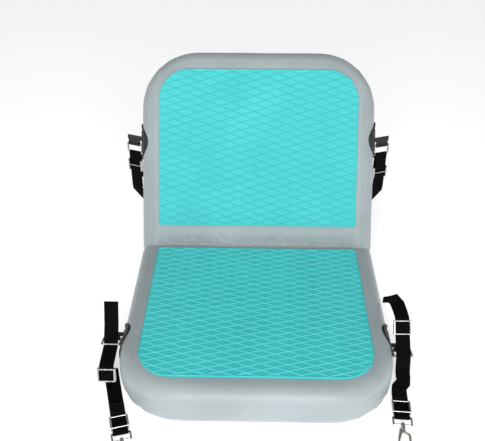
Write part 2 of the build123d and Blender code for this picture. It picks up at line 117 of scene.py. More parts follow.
def subdivide(piece, levels=1):
    mod = piece.modifiers.new("smooth", "SUBSURF")
    mod.levels = levels
    mod.render_levels = levels
    bpy.context.view_layer.objects.active = piece
    piece.select_set(True)
    bpy.ops.object.modifier_apply(modifier=mod.name)
    piece.select_set(False)


def ripple(x, y, z, scale, seed=0.0):
    return noise.noise(Vector((x / scale + seed, y / scale, z / scale)))


def smooth_step(a, b, v):
    u = min(max((v - a) / (b - a), 0.0), 1.0)
    return u * u * (3 - 2 * u)


# ---------------------------------------------------------------- materials
def new_material(name, rough, spec=0.5, **extra):
    mat = bpy.data.materials.new(name)
    mat.use_nodes = True
    tree = mat.node_tree
    shader = tree.nodes["Principled BSDF"]
    shader.inputs["Roughness"].default_value = rough
    shader.inputs["Specular IOR Level"].default_value = spec
    for key, value in extra.items():
        shader.inputs[key.replace("_", " ")].default_value = value
    return mat, tree, shader


def node(tree, kind, **settings):
    made = tree.nodes.new(kind)
    for key, value in settings.items():
        if key in made.inputs:
            made.inputs[key].default_value = value
        else:
            setattr(made, key, value)
    return made


def noise_node(tree, scale, detail=4.0, rough=0.6):
    coords = node(tree, "ShaderNodeTexCoord")
    made = node(tree, "ShaderNodeTexNoise", Scale=scale, Detail=detail, Roughness=rough)
    tree.links.new(coords.outputs["Object"], made.inputs["Vector"])
    return made


def ramp(tree, source, stops):
    made = node(tree, "ShaderNodeValToRGB")
    while len(made.color_ramp.elements) < len(stops):
        made.color_ramp.elements.new(0.5)
    for element, (where, colour) in zip(made.color_ramp.elements, stops):
        element.position = where
        element.color = (*colour, 1.0)
    tree.links.new(source, made.inputs["Fac"])
    return made


def bump(tree, shader, source, strength, distance, below=None):
    made = node(tree, "ShaderNodeBump", Strength=strength, Distance=distance)
    tree.links.new(source, made.inputs["Height"])
    if below is not None:
        tree.links.new(below.outputs["Normal"], made.inputs["Normal"])
    tree.links.new(made.outputs["Normal"], shader.inputs["Normal"])
    return made


def pvc_material(name, dark, light, rough):
    """Coated fabric: fine weave under a satin coat, soft cloudy tone."""
    mat, tree, shader = new_material(name, rough, 0.45)
    shader.inputs["Sheen Weight"].default_value = 0.12
    cloud = noise_node(tree, 9.0, 3.0)
    tone = ramp(tree, cloud.outputs["Fac"], [(0.3, dark), (0.7, light)])
    tree.links.new(tone.outputs["Color"], shader.inputs["Base Color"])
    fine = noise_node(tree, 1500.0, 2.0)
    grain = bump(tree, shader, fine.outputs["Fac"], 0.10, 0.0004)
    coarse = noise_node(tree, 60.0, 3.0)
    bump(tree, shader, coarse.outputs["Fac"], 0.10, 0.0015, grain)
    scuff = noise_node(tree, 35.0, 5.0)
    gloss = node(tree, "ShaderNodeMapRange")
    gloss.inputs["To Min"].default_value = rough - 0.07
    gloss.inputs["To Max"].default_value = rough + 0.10
    tree.links.new(scuff.outputs["Fac"], gloss.inputs["Value"])
    tree.links.new(gloss.outputs["Result"], shader.inputs["Roughness"])
    return mat


def foam_material(name, base_dark, base_light, line, painted_rib_light_amount):
    """Closed-cell foam: matt and pored. The diamond ribs get a colour of their own, which is painted light: a
    painted highlight on the seat pad's ribs, painted shade on the back pad's ribs.
    """
    mat, tree, shader = new_material(name, 0.62, 0.35)
    shader.inputs["Sheen Weight"].default_value = 0.15
    cloud = noise_node(tree, 14.0, 4.0)
    tone = ramp(tree, cloud.outputs["Fac"], [(0.3, base_dark), (0.7, base_light)])
    relief = node(tree, "ShaderNodeAttribute", attribute_name="relief")
    mix = node(tree, "ShaderNodeMix", data_type="RGBA")
    amount = node(tree, "ShaderNodeMath", operation="MULTIPLY")
    amount.inputs[1].default_value = painted_rib_light_amount
    tree.links.new(relief.outputs["Fac"], amount.inputs[0])
    tree.links.new(amount.outputs["Value"], mix.inputs["Factor"])
    tree.links.new(tone.outputs["Color"], mix.inputs["A"])
    # The rib colour that the relief mask mixes in is painted light, not the foam's own colour: lighter than
    # the foam on the seat pad, darker on the back pad.
    mix.inputs["B"].default_value = (*line, 1.0)
    tree.links.new(mix.outputs["Result"], shader.inputs["Base Color"])
    pores = noise_node(tree, 900.0, 3.0)
    bump(tree, shader, pores.outputs["Fac"], 0.18, 0.0004)
    return mat


def webbing_material(name, tone_low, tone_high):
    """Woven polyester: ribs across and along the strap, from its own UV in millimetres."""
    mat, tree, shader = new_material(name, 0.8, 0.06)
    uv = node(tree, "ShaderNodeUVMap", uv_map="weave")
    wave = node(tree, "ShaderNodeTexWave", wave_type="BANDS", bands_direction="DIAGONAL",
                Scale=0.30, Distortion=0.6)
    cross = node(tree, "ShaderNodeTexWave", wave_type="BANDS", bands_direction="Y", Scale=0.22)
    tree.links.new(uv.outputs["UV"], wave.inputs["Vector"])
    tree.links.new(uv.outputs["UV"], cross.inputs["Vector"])
    weave = node(tree, "ShaderNodeMath", operation="MULTIPLY")
    tree.links.new(wave.outputs["Fac"], weave.inputs[0])
    tree.links.new(cross.outputs["Fac"], weave.inputs[1])
    tone = ramp(tree, weave.outputs["Value"], [(0.0, tone_low), (1.0, tone_high)])
    tree.links.new(tone.outputs["Color"], shader.inputs["Base Color"])
    bump(tree, shader, weave.outputs["Value"], 0.5, 0.0005)
    return mat


def patch_material():
    """Black coated patch with a pebbled face."""
    mat, tree, shader = new_material("patch", 0.5, 0.45)
    cells = noise_node(tree, 420.0, 2.0)
    tone = ramp(tree, cells.outputs["Fac"], [(0.3, (0.004, 0.0045, 0.005)), (0.7, (0.010, 0.0105, 0.011))])
    tree.links.new(tone.outputs["Color"], shader.inputs["Base Color"])
    bump(tree, shader, cells.outputs["Fac"], 0.35, 0.0006)
    return mat


def metal_material(name, dark, light, rough):
    """Nickel-plated steel with handling marks."""
    mat, tree, shader = new_material(name, rough, 0.5, Metallic=1.0)
    marks = noise_node(tree, 260.0, 5.0, 0.7)
    tone = ramp(tree, marks.outputs["Fac"], [(0.35, dark), (0.65, light)])
    tree.links.new(tone.outputs["Color"], shader.inputs["Base Color"])
    gloss = node(tree, "ShaderNodeMapRange")
    gloss.inputs["To Min"].default_value = rough - 0.08
    gloss.inputs["To Max"].default_value = rough + 0.14
    tree.links.new(marks.outputs["Fac"], gloss.inputs["Value"])
    tree.links.new(gloss.outputs["Result"], shader.inputs["Roughness"])
    bump(tree, shader, marks.outputs["Fac"], 0.08, 0.0002)
    return mat


def plastic_material(name, dark, light, rough):
    mat, tree, shader = new_material(name, rough, 0.5)
    grain = noise_node(tree, 700.0, 2.0)
    tone = ramp(tree, grain.outputs["Fac"], [(0.3, dark), (0.7, light)])
    tree.links.new(tone.outputs["Color"], shader.inputs["Base Color"])
    bump(tree, shader, grain.outputs["Fac"], 0.2, 0.0003)
    return mat


skin_mat = pvc_material("chamber_skin", (0.315, 0.362, 0.374), (0.375, 0.430, 0.446), 0.46)
tape_mat = pvc_material("seam_tape", (0.335, 0.383, 0.396), (0.395, 0.452, 0.470), 0.38)
# The seat pad's rib colour is lighter than its foam, a painted highlight; the back pad's rib colour is darker
# than its foam, painted shade.
seat_foam_mat = foam_material("seat_foam", (0.036, 0.585, 0.592), (0.050, 0.655, 0.662),
                              (0.17, 0.90, 0.91), 0.8)
back_foam_mat = foam_material("back_foam", (0.048, 0.57, 0.575), (0.064, 0.63, 0.635),
                              (0.050, 0.46, 0.465), 0.8)
web_mat = webbing_material("webbing", (0.0015, 0.0015, 0.0016), (0.007, 0.007, 0.0072))
thread_mat = plastic_material("stitch_thread", (0.012, 0.012, 0.012), (0.03, 0.03, 0.03), 0.7)
patch_mat = patch_material()
steel_mat = metal_material("nickel_steel", (0.40, 0.39, 0.37), (0.66, 0.64, 0.60), 0.2)
valve_mat = plastic_material("valve_plastic", (0.16, 0.18, 0.19), (0.20, 0.22, 0.23), 0.42)
rubber_mat = plastic_material("valve_rubber", (0.015, 0.015, 0.015), (0.03, 0.03, 0.03), 0.6)
yarn_mat = plastic_material("drop_yarn", (0.62, 0.62, 0.58), (0.74, 0.74, 0.70), 0.8)


def dress(piece, mat):
    piece.data.materials.clear()
    piece.data.materials.append(mat)


# ---------------------------------------------------------------- chamber
FRONT_S = -SEAT_RUN
TOP_S = BEND_S + BACK_RUN
INNER_R = CORNER_R - SHOULDER_R
ROW_STEP = 8 * MM
BEND_ROWS = 18
CORNER_ROWS = 14
COLUMNS = 176
FINE_REACH = 36 * MM      # how far past the bend the skin's rows stay close together
FINE_STEP = 2.4 * MM
WALL_WRINKLE = 1.4        # how much stronger the wall's corner wrinkles are than the skins' own
SKIN_RIPPLE, SKIN_RIPPLE_SIZE = 0.22 * MM, 45 * MM
PLEAT, PLEATS_PER_RADIAN = 0.55 * MM, 19                     # at the four round corners
BEND_RIPPLE, BEND_RIPPLE_SIZE = 0.9 * MM, 16 * MM
PINCH, PINCH_WIDTH = 3.0 * MM, 9 * MM                        # dent in each side of the bend
CREASE_LINE = 17 * MM                                        # scalloped line's height above the bend
CREASE_SINK, CREASE_FOLD, CREASE_LIP = 4.5 * MM, 1.1 * MM, 0.8 * MM
TAPE_FROM, TAPE_TO = math.radians(18), math.radians(74)      # angles on the shoulder's round
TAPE_PROUD, TAPE_EDGE_SUNK = 0.5 * MM, 0.15 * MM


def evenly(low, high, step):
    """Evenly spaced values above low, up to and including high."""
    count = max(round((high - low) / step), 1)
    return [low + (high - low) * (i + 1) / count for i in range(count)]


def rows():
    """Rows (s, half width, outward normal) of the skin's outline, from the seat's front to the back's top."""
    made = []
    straight = HALF - SHOULDER_R - INNER_R
    for i in range(CORNER_ROWS + 1):
        a = math.pi / 2 * (1 - i / CORNER_ROWS)
        made.append((FRONT_S + CORNER_R - INNER_R * math.sin(a), straight + INNER_R * math.cos(a),
                     (math.cos(a), -math.sin(a))))
    start, end = FRONT_S + CORNER_R, TOP_S - CORNER_R
    marks = []
    marks += evenly(start, -FINE_REACH / 2, ROW_STEP) + evenly(-FINE_REACH / 2, 0.0, FINE_STEP)
    marks += [BEND_S * (i + 1) / BEND_ROWS for i in range(BEND_ROWS)]
    marks += evenly(BEND_S, BEND_S + FINE_REACH, FINE_STEP) + evenly(BEND_S + FINE_REACH, end, ROW_STEP)[:-1]
    made += [(s, straight + INNER_R, (1.0, 0.0)) for s in marks]
    for i in range(CORNER_ROWS + 1):
        a = math.pi / 2 * i / CORNER_ROWS
        made.append((end + INNER_R * math.sin(a), straight + INNER_R * math.cos(a),
                     (math.cos(a), math.sin(a))))
    return made


def wall_profile():
    """(outward step, height) from the top skin's rim down to the bottom skin's; the caller works out the
    share of the shoulder from the height.
    """
    steps = 9
    made = []
    for i in range(1, steps + 1):
        a = math.pi / 2 * i / steps
        made.append((SHOULDER_R * math.sin(a), THICK - SHOULDER_R + SHOULDER_R * math.cos(a)))
    made.append((SHOULDER_R + 0.3 * MM, THICK / 2))
    for i in range(steps, 0, -1):
        a = math.pi / 2 * i / steps
        made.append((SHOULDER_R * math.sin(a), SHOULDER_R - SHOULDER_R * math.cos(a)))
    return made


def bend_share(s):
    """1 in the middle of the bend, falling to 0 a little way into the seat and the back."""
    return smooth_step(-26 * MM, 4 * MM, s) * (1 - smooth_step(BEND_S - 4 * MM, BEND_S + 26 * MM, s))


def wrinkle(x, s, t, out, height_share):
    """Small inward and outward moves of the skin, in metres."""
    move = SKIN_RIPPLE * ripple(x, s, t, SKIN_RIPPLE_SIZE)
    corner = max(abs(x) - (HALF - CORNER_R), 0.0)
    ahead = max(FRONT_S + CORNER_R - s, s - (TOP_S - CORNER_R), 0.0)
    if corner > 0 and ahead > 0:
        angle = math.atan2(ahead, corner)
        wave = math.sin(angle * PLEATS_PER_RADIAN + 2.0 * ripple(x, s, 0, 50 * MM, 3.0))
        move += PLEAT * wave * height_share * math.sin(2 * angle)
    share = bend_share(s)
    if share > 0:
        move += BEND_RIPPLE * share * ripple(x, s * 2.4, t, BEND_RIPPLE_SIZE, 7.0)
        side = smooth_step(HALF - 60 * MM, HALF - 10 * MM, abs(x) + out)
        middle = math.exp(-((s - BEND_S / 2) / PINCH_WIDTH) ** 2)
        move -= PINCH * share * side * middle * smooth_step(0.2, 0.9, t / THICK)
    return move


def make_chamber():
    outline = rows()
    points = []
    faces = []
    top_ids = []
    bottom_ids = []
    for height, ids, sign in ((THICK, top_ids, 1), (0.0, bottom_ids, -1)):
        for s, w, _ in outline:
            line = []
            for c in range(COLUMNS + 1):
                x = w * (2 * c / COLUMNS - 1)
                lift = wrinkle(x, s, height, 0.0, 0.15)
                if height == THICK:
                    lift += crease_wrinkle(x, s)
                if s < BEND_S and height == 0.0:
                    lift = 0.0 if s < -30 * MM else min(lift, 0.0) * bend_share(s)
                line.append(len(points))
                points.append(fold(x, s, height + sign * lift))
            ids.append(line)
    for r in range(len(outline) - 1):
        for c in range(COLUMNS):
            a, b = top_ids[r], top_ids[r + 1]
            faces.append((a[c], a[c + 1], b[c + 1], b[c]))
            a, b = bottom_ids[r], bottom_ids[r + 1]
            faces.append((a[c], b[c], b[c + 1], a[c + 1]))
    rim = []
    last = len(outline) - 1
    for c in range(COLUMNS + 1):
        x = outline[0][1] * (2 * c / COLUMNS - 1)
        rim.append((x, outline[0][0], 0.0, -1.0, top_ids[0][c], bottom_ids[0][c]))
    for r in range(1, last):
        s, w, (nx, ns) = outline[r]
        rim.append((w, s, nx, ns, top_ids[r][-1], bottom_ids[r][-1]))
    for c in range(COLUMNS, -1, -1):
        x = outline[last][1] * (2 * c / COLUMNS - 1)
        rim.append((x, outline[last][0], 0.0, 1.0, top_ids[last][c], bottom_ids[last][c]))
    for r in range(last - 1, 0, -1):
        s, w, (nx, ns) = outline[r]
        rim.append((-w, s, -nx, ns, top_ids[r][0], bottom_ids[r][0]))
    profile = wall_profile()
    rings = [[spot[4] for spot in rim]]
    for out, height in profile[:-1]:
        ring = []
        share = 1 - abs(height / THICK - 0.5)
        for x, s, nx, ns, _, _ in rim:
            move = wrinkle(x + nx * out, s + ns * out, height, out, share * WALL_WRINKLE)
            if height < 8 * MM and s < 0:
                move = min(move, 0.0) * 0.3
            reach = out + move
            ring.append(len(points))
            points.append(fold(x + nx * reach, s + ns * reach, height))
        rings.append(ring)
    rings.append([spot[5] for spot in rim])
    count = len(rim)
    for upper, lower in zip(rings, rings[1:]):
        for i in range(count):
            k = (i + 1) % count
            faces.append((upper[i], lower[i], lower[k], upper[k]))
    return make_mesh("chamber", points, faces), rim


def crease_wrinkle(x, s):
    """The front skin sinks into the crease below a scalloped line, with short folds across it."""
    inside = 1 - smooth_step(HALF - 46 * MM, HALF - 26 * MM, abs(x))
    line = (BEND_S + CREASE_LINE + 3.0 * MM * ripple(x, 0, 0, 8.5 * MM, 11.0)
            + 2.0 * MM * ripple(x, 0, 0, 30 * MM, 5.0))
    below = 1 - smooth_step(line - 5 * MM, line, s)
    near = smooth_step(-10 * MM, 0.0, s)
    folds = (ripple(x + 0.5 * s, s * 0.3, 0, 7.5 * MM, 21.0)
             + 0.7 * ripple(x - 0.3 * s, s * 0.5, 0, 16 * MM, 33.0))
    lip = math.exp(-((s - line - 1.5 * MM) / (2.6 * MM)) ** 2)
    sink = 1 - smooth_step(BEND_S - 6 * MM, line + 2 * MM, s)
    return near * inside * (CREASE_FOLD * below * folds - CREASE_SINK * sink
                            + CREASE_LIP * lip * (0.5 + 1.8 * folds))


def make_tape(name, rim, height_side):
    """Raised seam tape along the rim's shoulder: height_side is 1 for the upper tape, -1 for the lower."""
    steps = 6
    points, faces = [], []
    for x, s, nx, ns, _, _ in rim:
        for i in range(steps + 1):
            a = TAPE_FROM + (TAPE_TO - TAPE_FROM) * i / steps
            radius = SHOULDER_R + (-TAPE_EDGE_SUNK if i in (0, steps) else TAPE_PROUD)
            out = radius * math.sin(a)
            height = THICK - SHOULDER_R + radius * math.cos(a)
            reach = out + wrinkle(x + nx * out, s + ns * out, height, out, 0.9 * WALL_WRINKLE)
            if height_side < 0:
                height = THICK - height
            points.append(fold(x + nx * reach, s + ns * reach, height))
    count = len(rim)
    row = steps + 1
    for i in range(count):
        k = (i + 1) % count
        for j in range(steps):
            quad = (i * row + j, i * row + j + 1, k * row + j + 1, k * row + j)
            faces.append(quad if height_side > 0 else quad[::-1])
    return make_mesh(name, points, faces)


def bend_with_back(piece):
    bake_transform(piece)


chamber, rim = make_chamber()
subdivide(chamber, 1)
dress(chamber, skin_mat)
bend_with_back(chamber)
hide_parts("seat_top_skin", "seat_bottom_skin", "seat_side_wall",
            "bend_inner_skin", "bend_outer_skin", "bend_left_wall", "bend_right_wall",
            "back_front_skin", "back_rear_skin", "back_side_wall")
for name, side, nodes in (("upper_seam_tape", 1, ("seat_upper_seam_tape", "back_front_seam_tape")),
                          ("lower_seam_tape", -1, ("seat_lower_seam_tape", "back_rear_seam_tape"))):
    tape = make_tape(name, rim, side)
    dress(tape, tape_mat)
    bend_with_back(tape)
    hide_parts(*nodes)


# ---------------------------------------------------------------- foam pads
DIAMOND_W, DIAMOND_H = 44 * MM, 15 * MM
PATTERN_TILT = math.radians(2.3)
RIB_HEIGHT = 0.75 * MM
PAD_STEP = 1.35 * MM
PAD_ROUND = 1.3 * MM
PAD_SUNK = 0.2 * MM                   # how far the pad's underside reaches into the skin
END_ROWS, END_SHARE = 24, 0.02        # close rows that round off each end of the pad
COLUMN_STRETCH = 1.15


def rib(x, s):
    """1 on a rib of the diamond lattice, 0 in a field."""
    u = x * math.cos(PATTERN_TILT) - s * math.sin(PATTERN_TILT)
    v = x * math.sin(PATTERN_TILT) + s * math.cos(PATTERN_TILT)
    slope = math.hypot(1 / DIAMOND_W, 1 / DIAMOND_H)
    best = 0.0
    for sign in (1, -1):
        phase = u / DIAMOND_W + sign * v / DIAMOND_H
        off = abs(phase - round(phase)) / slope
        best = max(best, 1 - smooth_step(0.35 * MM, 1.6 * MM, off))
    return best


def pad_half(s, start, end, far_sign):
    """Half width of the pad at s. Its round corners are at the end away from the crease."""
    away = (end - s) if far_sign > 0 else (s - start)
    near = (s - start) if far_sign > 0 else (end - s)
    half = PAD_HALF
    for gap, radius in ((away, PAD_CORNER), (near, PAD_CREASE_CORNER)):
        if gap < radius:
            half = min(half, PAD_HALF - radius + math.sqrt(max(radius ** 2 - (radius - gap) ** 2, 0.0)))
    return half


def make_pad(name, start, end, far_sign):
    """Foam sheet with raised diamond ribs, lying on the skin between s = start and s = end."""
    count = round((end - start) / PAD_STEP)
    columns = round(2 * PAD_HALF / PAD_STEP / COLUMN_STRETCH)
    marks = [start + (end - start) * (1 - math.cos(math.pi * i / END_ROWS)) / 2 * END_SHARE
             for i in range(END_ROWS)]
    first = marks[-1]
    middle = [first + (end - first - (first - start)) * i / count for i in range(1, count)]
    marks += middle + [end + start - m for m in reversed(marks)]
    halves = [pad_half(s, start, end, far_sign) for s in marks]
    points, faces, relief = [], [], []
    grid = []
    for s, half in zip(marks, halves):
        line = []
        for c in range(columns + 1):
            x = half * (2 * c / columns - 1)
            edge = min(half - abs(x), s - start, end - s) if half > 0 else 0.0
            fade = smooth_step(0.0, 5 * MM, edge)
            level = rib(x, s)
            drop = PAD_ROUND * (1 - math.sqrt(max(1 - max(1 - edge / PAD_ROUND, 0.0) ** 2, 0.0)))
            wave = 0.25 * MM * ripple(x, s, 0, 0.07, 5.0)
            height = THICK + PAD_T - RIB_HEIGHT * (1 - level) * fade - drop + wave * fade
            line.append(len(points))
            points.append(fold(x, s, height))
            relief.append(level * fade)
        grid.append(line)
    for a, b in zip(grid, grid[1:]):
        faces += [(a[c], a[c + 1], b[c + 1], b[c]) for c in range(columns)]
    loop = grid[0] + [line[-1] for line in grid[1:-1]] + grid[-1][::-1] + [line[0] for line in grid[-2:0:-1]]
    outline = [(halves[0] * (2 * c / columns - 1), marks[0]) for c in range(columns + 1)]
    outline += list(zip(halves, marks))[1:-1]
    outline += [(halves[-1] * (1 - 2 * c / columns), marks[-1]) for c in range(columns + 1)]
    outline += [(-half, s) for half, s in zip(halves, marks)][-2:0:-1]
    ring = []
    for x, s in outline:
        ring.append(len(points))
        points.append(fold(x, s, THICK - PAD_SUNK))
        relief.append(0.0)
    total = len(loop)
    for i in range(total):
        k = (i + 1) % total
        faces.append((loop[i], ring[i], ring[k], loop[k]))
    faces.append(tuple(reversed(ring)))
    piece = make_mesh(name, points, faces)
    set_relief(piece, relief)
    return piece


SEAT_PAD_S = (seat_pad_low.y - HINGE.y, seat_pad_high.y - HINGE.y)
BACK_PAD_START = BEND_S + 41 * MM - SETBACK
BACK_PAD_LENGTH = 308 * MM
BACK_PAD_S = (BACK_PAD_START, BACK_PAD_START + BACK_PAD_LENGTH)
for name, span, far, mat, body, cad_node in (
        ("seat_diamond_pad", SEAT_PAD_S, -1, seat_foam_mat, "seat", "seat_foam_pad"),
        ("back_diamond_pad", BACK_PAD_S, 1, back_foam_mat, "backrest", "back_foam_pad")):
    pad = make_pad(name, *span, far)
    dress(pad, mat)
    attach(pad, body)
    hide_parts(cad_node)


# ---------------------------------------------------------------- webbing
WEB_W, WEB_T = 25 * MM, 1.6 * MM
WIRE_R, EYE_R, GAP = 1.8 * MM, 1.6 * MM, 0.35 * MM
WRAP = WIRE_R + GAP + WEB_T / 2
EYE_WRAP = EYE_R + GAP + WEB_T / 2
FLOOR_Z = 0.2 * MM + WEB_T / 2
KIT_X = -(HALF + 8.7 * MM + WEB_W / 2)
# routes of the front straps as (y, z) in millimetres
TAILS = {"left": [(-16, 112), (-34, 74)], "right": [(46, 66), (44, 84), (8, 98), (-28, 92), (-48, 70)]}
LOOPS = {"left": [(-106, 44), (-113, 19), (-108, 12)], "right": [(-84, 22), (-100, 12)]}
BARS = {"left": (-58, 50), "right": (-72, 46)}
HOOK_Y = {"left": -216, "right": -170}
SHIFT = {"left": 0, "right": 8}
YAW = {"left": 16, "right": 4}
TAIL_ARC, LOOP_ARC, LOOP_END_ARC = 6 * MM, 8 * MM, 4 * MM
TURN_AHEAD = {"left": 30, "right": -6}
DESCENTS = {"left": [(-12, 7.6), (4, 7), (4, FLOOR_Z / MM)], "right": [(0, 5), (-10, FLOOR_Z / MM)]}
DESCENT_ARCS = {"left": [2.9, 2.9], "right": [10]}
SETTLE_ROUNDS = 30                    # rounds after which the corner at a bar no longer moves
ROUTE_STEP = 5.6 * MM
EYE_SLACK = 0.05 * MM                 # keeps the two arcs round an eye or a bar apart
FLOOR_RETURN = 62 * MM                # webbing sewn back on itself in front of the floor hook
FRONT_BOX_AHEAD, FRONT_BOX = 49 * MM, (20 * MM, 19 * MM)
LEAN, LEAN_ANGLE = 9 * MM, 0.35
LEAN_FROM, LEAN_TO = -30 * MM, 45 * MM      # where along Y the right tail leans in
MIRROR = Vector((-1, 1, 1))
RIBBON_COLUMNS, SELVEDGE, SELVEDGE_THIN = 12, 0.97, 0.45


def unit(a, b):
    """Direction from a to b."""
    d = (b[0] - a[0], b[1] - a[1])
    n = math.hypot(*d)
    return (d[0] / n, d[1] / n)


def round_bar(bar, before, after, radius, side):
    """Corner of a route that goes round a bar, with its arc centred on the bar."""
    corner = (bar[0] + side[0] * radius, bar[1] + side[1] * radius)
    for _ in range(SETTLE_ROUNDS):
        a, b = unit(corner, before), unit(corner, after)
        m = (a[0] + b[0], a[1] + b[1])
        n = math.hypot(*m)
        open_half = math.hypot(a[0] - b[0], a[1] - b[1]) / 2
        corner = (bar[0] - m[0] / n * radius / open_half, bar[1] - m[1] / n * radius / open_half)
    return corner


def rounded(points, radii):
    """Runs joined by tangent arcs, as closely spaced 2-D points."""
    made = [points[0]]
    for before, corner, after, radius in zip(points, points[1:], points[2:], radii):
        a, b = unit(corner, before), unit(corner, after)
        dot = max(min(a[0] * b[0] + a[1] * b[1], 1.0), -1.0)
        half = math.acos(dot) / 2
        back = radius / math.tan(half)
        start = (corner[0] + a[0] * back, corner[1] + a[1] * back)
        m = unit((0, 0), (a[0] + b[0], a[1] + b[1]))
        centre = (corner[0] + m[0] * radius / math.sin(half), corner[1] + m[1] * radius / math.sin(half))
        a0 = math.atan2(start[1] - centre[1], start[0] - centre[0])
        end = (corner[0] + b[0] * back, corner[1] + b[1] * back)
        a1 = math.atan2(end[1] - centre[1], end[0] - centre[0])
        turn = (a1 - a0 + math.pi) % (2 * math.pi) - math.pi
        arcs = max(int(abs(turn) / math.radians(12)), 2)
        angles = [a0 + turn * i / arcs for i in range(arcs + 1)]
        made += [(centre[0] + radius * math.cos(a), centre[1] + radius * math.sin(a)) for a in angles]
    made.append(points[-1])
    dense = [made[0]]
    for p, q in zip(made, made[1:]):
        length = math.hypot(q[0] - p[0], q[1] - p[1])
        if length < 1e-7:
            continue
        parts = max(int(length / ROUTE_STEP), 1)
        dense += [(p[0] + (q[0] - p[0]) * i / parts, p[1] + (q[1] - p[1]) * i / parts)
                  for i in range(1, parts + 1)]
    return dense


def make_ribbon(name, stations):
    """Webbing with thin selvedges through (centre, across) stations, and a UV in millimetres."""
    half_w, half_t = WEB_W / 2, WEB_T / 2
    profile = []
    for i in range(RIBBON_COLUMNS + 1):
        u = -1 + 2 * i / RIBBON_COLUMNS
        profile.append((u * half_w, half_t if abs(u) < SELVEDGE else half_t * SELVEDGE_THIN))
    profile += [(w, -t) for w, t in reversed(profile)]
    points, faces, rows_of = [], [], []
    travelled = [0.0]
    centres = [c for c, _ in stations]
    for a, b in zip(centres, centres[1:]):
        travelled.append(travelled[-1] + (b - a).length)
    for i, (centre, across) in enumerate(stations):
        along = (centres[min(i + 1, len(centres) - 1)] - centres[max(i - 1, 0)]).normalized()
        across = (across - along * across.dot(along)).normalized()
        normal = across.cross(along)
        line = []
        for w, t in profile:
            line.append(len(points))
            points.append(centre + across * w + normal * t)
        rows_of.append(line)
    n = len(profile)
    for a, b in zip(rows_of, rows_of[1:]):
        faces += [(a[j], a[(j + 1) % n], b[(j + 1) % n], b[j]) for j in range(n)]
    faces.append(tuple(reversed(rows_of[0])))
    faces.append(tuple(rows_of[-1]))
    piece = make_mesh(name, points, faces)
    layer = piece.data.uv_layers.new(name="weave")
    for poly in piece.data.polygons:
        for li in poly.loop_indices:
            v = piece.data.loops[li].vertex_index
            i, j = divmod(v, n)
            layer.data[li].uv = (profile[j][0] / MM, travelled[i] / MM)
    return piece


STITCH_PITCH = 2.6 * MM
STITCH_LENGTH, STITCH_WIDTH, STITCH_HEIGHT = 1.7 * MM, 0.55 * MM, 0.3 * MM


def thread_row(marks, points, faces, normal):
    """Short raised stitches along a line of 3-D marks."""
    for a, b in zip(marks, marks[1:]):
        span = b - a
        count = max(int(span.length / STITCH_PITCH), 1)
        along = span.normalized()
        side = normal.cross(along).normalized()
        for i in range(count):
            mid = a + span * (i + 0.5) / count
            first = len(points)
            for u in (-1, 1):
                for v, h in ((-1, 0.0), (-0.4, 1.0), (0.4, 1.0), (1, 0.0)):
                    points.append(mid + along * u * STITCH_LENGTH / 2 + side * v * STITCH_WIDTH / 2
                                  + normal * h * STITCH_HEIGHT)
            for k in range(3):
                faces.append((first + k, first + k + 1, first + k + 5, first + k + 4))
            faces.append((first, first + 4, first + 7, first + 3))
            faces.append((first, first + 3, first + 2, first + 1))
            faces.append((first + 4, first + 5, first + 6, first + 7))


def stitched_box(name, centre, along, across, size, body):
    """A sewn rectangle with a cross in it, standing on a webbing face."""
    normal = along.cross(across).normalized()
    length, width = size
    corners = [centre + along * u * length / 2 + across * v * width / 2
               for u, v in ((-1, -1), (1, -1), (1, 1), (-1, 1))]
    points, faces = [], []
    thread_row(corners + [corners[0]], points, faces, normal)
    thread_row([corners[0], corners[2]], points, faces, normal)
    thread_row([corners[1], corners[3]], points, faces, normal)
    piece = make_mesh(name, points, faces, smooth=False)
    dress(piece, thread_mat)
    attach(piece, body)


def mirrored(stations, side):
    """Straps are made on the left; the right one is the mirror image of its stations."""
    if side == "left":
        return stations
    return [(centre * MIRROR, across * MIRROR * -1) for centre, across in stations]


def mm(points):
    """Points given in millimetres, in metres."""
    return [(p[0] * MM, p[1] * MM) for p in points]


def turned(stations, pivot, angle):
    """Stations turned about the vertical through a pivot."""
    spin = Matrix.Rotation(angle, 3, "Z")
    centre = Vector((pivot[0], pivot[1], 0))
    return [(spin @ (c - centre) + centre, spin @ a) for c, a in stations]


def flat_stations(points, x):
    """Stations of a route drawn as (y, z) points in the plane at x."""
    return [(Vector((x, y, z)), Vector((1, 0, 0))) for y, z in points]


def front_strap(side):
    """Tail, loop round the slider's bar, then down and along the floor to the hook's eye and back."""
    tail, loop, bar = mm(TAILS[side]), mm(LOOPS[side]), mm([BARS[side]])[0]
    corner = round_bar(bar, tail[-1], loop[0], WRAP, (0, -1))
    points = tail + [corner] + loop
    radii = [TAIL_ARC] * (len(tail) - 1) + [WRAP, LOOP_ARC] + [LOOP_END_ARC] * (len(loop) - 2)
    upper = flat_stations(rounded(points, radii), KIT_X)
    run_x = KIT_X + SHIFT[side] * MM
    turn_y = loop[-1][0] + TURN_AHEAD[side] * MM
    eye_y = HOOK_Y[side] * MM
    eye_z = FLOOR_Z + EYE_WRAP
    lower = [(turn_y + y, z) for y, z in mm(DESCENTS[side])]
    lower_radii = [radius * MM for radius in DESCENT_ARCS[side]]
    far = eye_y - EYE_WRAP
    lower += [(far, FLOOR_Z), (far, eye_z + EYE_WRAP), (eye_y + FLOOR_RETURN, eye_z + EYE_WRAP)]
    lower_radii += [EYE_WRAP - EYE_SLACK] * 2
    run = turned(flat_stations(rounded(lower, lower_radii), run_x), (run_x, turn_y), math.radians(YAW[side]))
    if side == "right":
        upper = lean_tail(upper)
    return mirrored(upper + run, side), Vector((run_x, eye_y, eye_z + EYE_WRAP)), (run_x, turn_y)


def lean_tail(stations):
    """The arched tail leans in over the side wall towards its end."""
    made = []
    for centre, across in stations:
        share = smooth_step(LEAN_FROM, LEAN_TO, centre.y)
        lean = LEAN_ANGLE * share
        made.append((centre + Vector((LEAN * share, 0, 0)), Vector((math.cos(lean), 0, -math.sin(lean)))))
    return made


